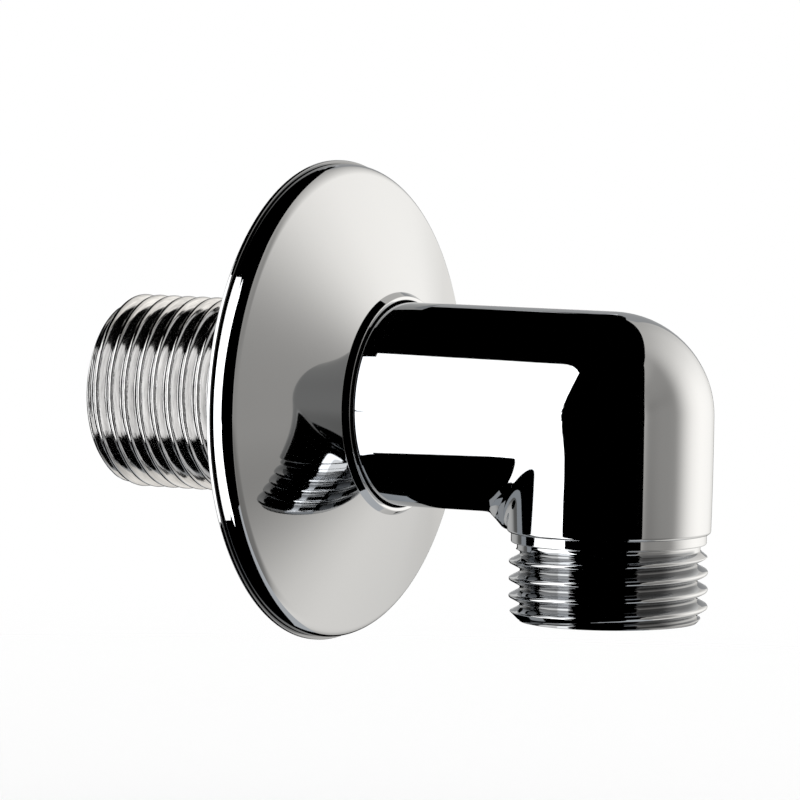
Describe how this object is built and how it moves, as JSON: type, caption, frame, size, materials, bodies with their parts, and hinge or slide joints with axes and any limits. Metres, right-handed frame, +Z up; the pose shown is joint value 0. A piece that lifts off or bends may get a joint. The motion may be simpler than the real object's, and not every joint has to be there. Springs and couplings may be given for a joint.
{
  "type": "wall outlet elbow",
  "caption": "Chrome elbow that brings shower water out of a wall: a threaded inlet behind a conical wall flange, a round tube with a ball corner and a threaded outlet facing down for a hose.",
  "frame": {"origin": "where the axis of the inlet crosses the wall face, which is the plane of the flange's back rim", "axes": "+X out of the wall along the inlet axis, +Z up, so the outlet points along -Z"},
  "size_m": [0.0698, 0.0516, 0.0516],
  "materials": {
    "body_chrome": "mirror-polished chrome plate on brass, satin on the inlet thread",
    "flange_chrome": "mirror-polished chrome plate on brass",
    "seal_rubber": "matt black rubber"
  },
  "bodies": {
    "root": {"elbow_body": "body_chrome", "wall_flange": "flange_chrome", "flange_seal": "seal_rubber"}
  },
  "joints": []
}
